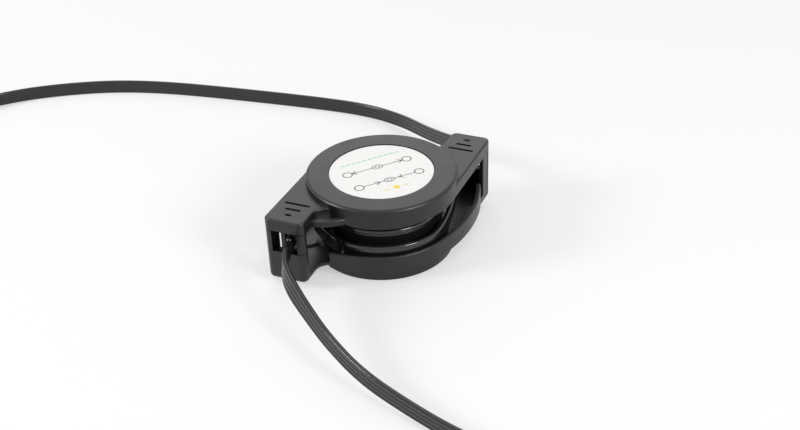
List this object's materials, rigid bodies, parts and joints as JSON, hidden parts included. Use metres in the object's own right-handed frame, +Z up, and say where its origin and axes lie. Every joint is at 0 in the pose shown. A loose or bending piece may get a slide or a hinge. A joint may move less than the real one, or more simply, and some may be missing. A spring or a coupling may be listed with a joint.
{
  "type": "retractable charging cable",
  "caption": "Flat charging cable on a sprung reel in a round plastic casing; both ends pull out through gates and end in plugs.",
  "frame": {"origin": "centre of the foot's underside, on the spool's axis", "axes": "+Z up along the spool's axis; +Y towards the gate of the back ear, along the casing's longest side"},
  "size_m": [0.2749, 0.1343, 0.021],
  "materials": {
    "casing_plastic": "fine moulded matte",
    "spool_plastic": "moulded matte",
    "label_film": "smooth printed film",
    "cable_jacket": "extruded semi-gloss",
    "grip_plastic": "moulded matte",
    "tongue_plastic": "moulded",
    "plug_shell": "nickel plated",
    "contact_metal": "gold plated",
    "steel": "bright"
  },
  "bodies": {
    "casing": {"upper_casing": "casing_plastic", "lower_casing": "casing_plastic", "label": "label_film", "casing_screw": "steel", "lead_front": "cable_jacket", "lead_back": "cable_jacket", "cable_front": "cable_jacket", "cable_back": "cable_jacket", "charger_plug_grip": "grip_plastic", "charger_plug_shell": "plug_shell", "charger_plug_tongue": "tongue_plastic", "charger_plug_contacts": "contact_metal", "phone_plug_grip": "grip_plastic", "phone_plug_shell": "plug_shell", "phone_plug_tongue": "tongue_plastic", "phone_plug_contacts": "contact_metal"},
    "spool": {"spool": "spool_plastic", "spool_cap": "spool_plastic", "main_spring": "steel", "cable_coil": "cable_jacket"},
    "ball": {"lock_ball": "steel"}
  },
  "joints": [
    {"name": "spool_spin", "type": "hinge", "parent": "casing", "child": "spool", "pos_m": [0, 0, 0], "axis": [0, 0, 1], "range_deg": [-330, 1440], "deforming": ["main_spring"]},
    {"name": "lock_slide", "type": "slide", "parent": "casing", "child": "ball", "axis": [1, 0, 0], "range_m": [0, 0.0034]}
  ]
}
